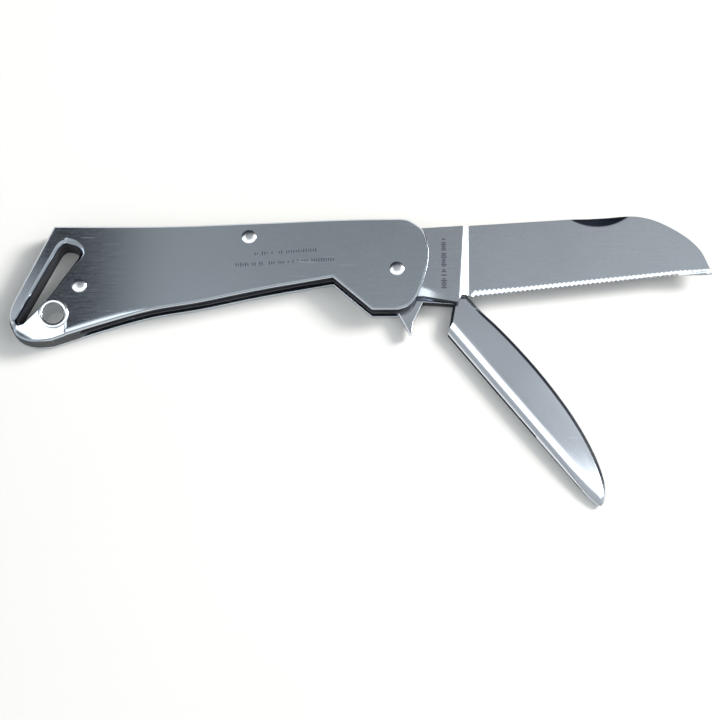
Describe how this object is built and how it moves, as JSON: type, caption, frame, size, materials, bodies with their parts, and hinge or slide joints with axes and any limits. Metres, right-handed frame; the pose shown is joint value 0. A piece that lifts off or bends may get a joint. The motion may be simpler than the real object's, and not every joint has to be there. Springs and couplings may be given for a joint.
{
  "type": "rigging knife",
  "caption": "Folding all-steel rigging knife with a serrated sheepsfoot blade and a marlinspike on one pivot, a shackle-key slot and a lined lanyard hole.",
  "frame": {"origin": "middle of the base, on the plane that the back handle scale lies on", "axes": "+X from the tail towards the open blade's tip, +Y towards the handle's spine, +Z out of the front scale"},
  "size_m": [0.179, 0.0752, 0.0091],
  "materials": {
    "scale_steel": "satin",
    "blade_steel": "satin",
    "spike_steel": "polished",
    "spring_steel": "satin",
    "pin_steel": "polished"
  },
  "bodies": {
    "handle": {"front_scale": "scale_steel", "back_scale": "scale_steel", "centre_liner": "spring_steel", "blade_spring": "spring_steel", "spike_spring": "spring_steel", "pivot_pin": "pin_steel", "spring_pin": "pin_steel", "tail_pin": "pin_steel", "lanyard_eyelet": "pin_steel"},
    "blade": {"blade": "blade_steel"},
    "spike": {"marlinspike": "spike_steel"}
  },
  "joints": [
    {"name": "blade_pivot", "type": "hinge", "parent": "handle", "child": "blade", "pos_m": [0.00883, 0.02274, 0.006], "axis": [0, 0, 1], "range_deg": [-180, 0], "deforming": ["blade_spring"]},
    {"name": "spike_pivot", "type": "hinge", "parent": "handle", "child": "spike", "pos_m": [0.00883, 0.02274, 0.00305], "axis": [0, 0, 1], "range_deg": [-117.3, 50.9], "deforming": ["spike_spring"]}
  ]
}
